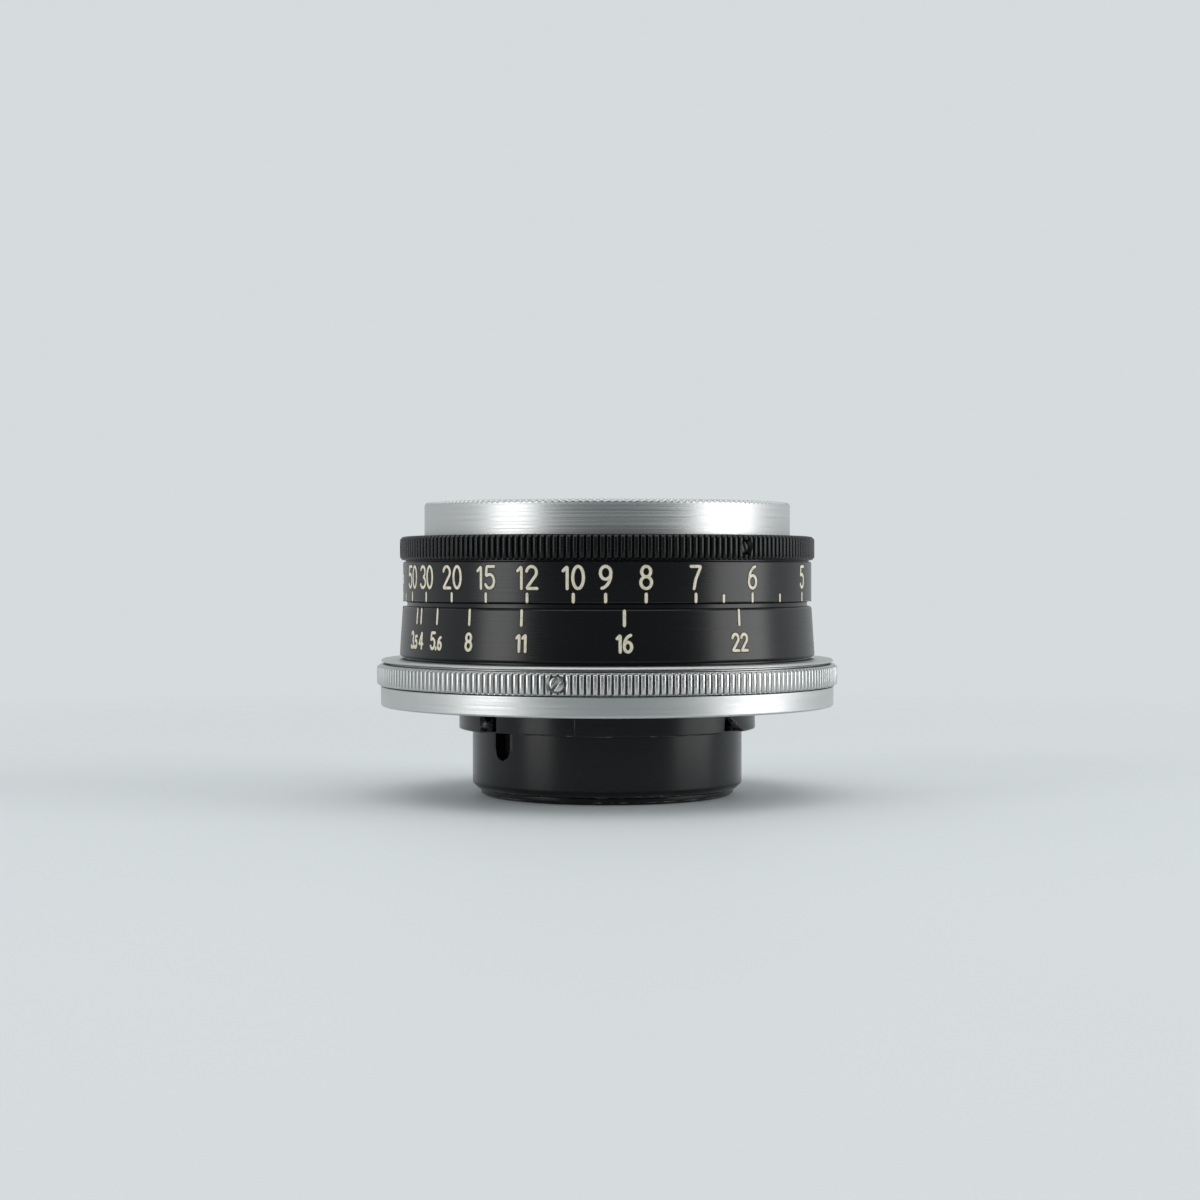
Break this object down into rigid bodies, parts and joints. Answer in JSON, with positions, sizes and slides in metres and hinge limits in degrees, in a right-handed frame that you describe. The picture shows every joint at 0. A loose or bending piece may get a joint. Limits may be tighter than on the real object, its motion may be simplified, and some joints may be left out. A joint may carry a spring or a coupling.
{
  "type": "camera lens",
  "caption": "Compact wide-angle rangefinder camera lens with bayonet mount, focusing ring with distance and depth scales, keyed sliding head and coupled iris.",
  "frame": {"origin": "centre of the rear rim's flat underside, where the lens stands", "axes": "+Z along the optical axis towards the front ring; -Y is the side that carries the scales' middle figures; the scale index stands near -X"},
  "size_m": [0.0566, 0.0566, 0.0357],
  "materials": {
    "satin_chrome": "satin",
    "black_enamel": "satin",
    "black_anodised": "satin",
    "matt_black": "matte",
    "brass": "satin",
    "blued_steel": "satin",
    "bright_steel": "satin",
    "coated_glass": "gloss"
  },
  "bodies": {
    "mount": {"rear_rim_ring": "black_anodised", "rear_barrel": "black_anodised", "bayonet_ring": "black_anodised", "mount_disc": "satin_chrome", "mount_grip_ring": "satin_chrome", "mount_grip_screw_1": "bright_steel", "mount_grip_screw_2": "bright_steel", "mount_grip_screw_3": "bright_steel", "cover_disc": "satin_chrome", "fixed_helicoid": "brass", "focus_stop_screw": "bright_steel", "guide_key_1": "bright_steel", "guide_key_2": "bright_steel", "depth_scale_ring": "black_enamel"},
    "focus_ring": {"distance_scale_ring": "black_enamel", "focus_grip": "black_enamel", "grip_set_screw_1": "blued_steel", "grip_set_screw_2": "blued_steel", "grip_set_screw_3": "blued_steel", "focus_nut": "brass"},
    "lens_head": {"head_barrel": "black_anodised", "unit_locking_ring": "matt_black", "iris_housing": "matt_black", "rear_cell": "black_anodised", "rear_pair_hollow": "coated_glass", "rear_pair_crown": "coated_glass", "rear_retaining_ring": "matt_black", "front_cell": "black_anodised", "second_element": "coated_glass", "second_retaining_ring": "matt_black", "front_element": "coated_glass", "front_retaining_ring": "matt_black", "baffle_cone": "matt_black"},
    "aperture_ring": {"front_ring": "satin_chrome", "iris_cam_ring": "brass", "iris_drive_arm": "bright_steel"},
    "iris_blade_1": {"iris_blade_1": "blued_steel"},
    "iris_blade_2": {"iris_blade_2": "blued_steel"},
    "iris_blade_3": {"iris_blade_3": "blued_steel"},
    "iris_blade_4": {"iris_blade_4": "blued_steel"},
    "iris_blade_5": {"iris_blade_5": "blued_steel"},
    "iris_blade_6": {"iris_blade_6": "blued_steel"},
    "iris_blade_7": {"iris_blade_7": "blued_steel"},
    "iris_blade_8": {"iris_blade_8": "blued_steel"}
  },
  "joints": [
    {"name": "focus_turn", "type": "hinge", "parent": "mount", "child": "focus_ring", "pos_m": [0, 0, 0.0286], "axis": [0, 0, 1], "range_deg": [-266.67, 0]},
    {"name": "head_travel", "type": "slide", "parent": "mount", "child": "lens_head", "axis": [0, 0, 1], "range_m": [0, 0.00145]},
    {"name": "aperture_turn", "type": "hinge", "parent": "lens_head", "child": "aperture_ring", "pos_m": [0, 0, 0.031], "axis": [0, 0, 1], "range_deg": [-53.06, 26.94]},
    {"name": "blade_turn_1", "type": "hinge", "parent": "lens_head", "child": "iris_blade_1", "pos_m": [0.00665, 0, 0.0104], "axis": [0, 0, 1], "range_deg": [-23.03, 11.74]},
    {"name": "blade_turn_2", "type": "hinge", "parent": "lens_head", "child": "iris_blade_2", "pos_m": [0.0047, 0.0047, 0.01064], "axis": [0, 0, 1], "range_deg": [-23.03, 11.74]},
    {"name": "blade_turn_3", "type": "hinge", "parent": "lens_head", "child": "iris_blade_3", "pos_m": [0, 0.00665, 0.01088], "axis": [0, 0, 1], "range_deg": [-23.03, 11.74]},
    {"name": "blade_turn_4", "type": "hinge", "parent": "lens_head", "child": "iris_blade_4", "pos_m": [-0.0047, 0.0047, 0.01112], "axis": [0, 0, 1], "range_deg": [-23.03, 11.74]},
    {"name": "blade_turn_5", "type": "hinge", "parent": "lens_head", "child": "iris_blade_5", "pos_m": [-0.00665, 0, 0.01136], "axis": [0, 0, 1], "range_deg": [-23.03, 11.74]},
    {"name": "blade_turn_6", "type": "hinge", "parent": "lens_head", "child": "iris_blade_6", "pos_m": [-0.0047, -0.0047, 0.0116], "axis": [0, 0, 1], "range_deg": [-23.03, 11.74]},
    {"name": "blade_turn_7", "type": "hinge", "parent": "lens_head", "child": "iris_blade_7", "pos_m": [0, -0.00665, 0.01184], "axis": [0, 0, 1], "range_deg": [-23.03, 11.74]},
    {"name": "blade_turn_8", "type": "hinge", "parent": "lens_head", "child": "iris_blade_8", "pos_m": [0.0047, -0.0047, 0.01208], "axis": [0, 0, 1], "range_deg": [-23.03, 11.74]}
  ],
  "couplings": [
    {"joint": "head_travel", "follows": "focus_turn", "m_per_rad": -0.00031155},
    {"joint": "blade_turn_1", "follows": "aperture_turn", "ratio": 0.43218},
    {"joint": "blade_turn_2", "follows": "aperture_turn", "ratio": 0.43218},
    {"joint": "blade_turn_3", "follows": "aperture_turn", "ratio": 0.43218},
    {"joint": "blade_turn_4", "follows": "aperture_turn", "ratio": 0.43218},
    {"joint": "blade_turn_5", "follows": "aperture_turn", "ratio": 0.43218},
    {"joint": "blade_turn_6", "follows": "aperture_turn", "ratio": 0.43218},
    {"joint": "blade_turn_7", "follows": "aperture_turn", "ratio": 0.43218},
    {"joint": "blade_turn_8", "follows": "aperture_turn", "ratio": 0.43218}
  ]
}
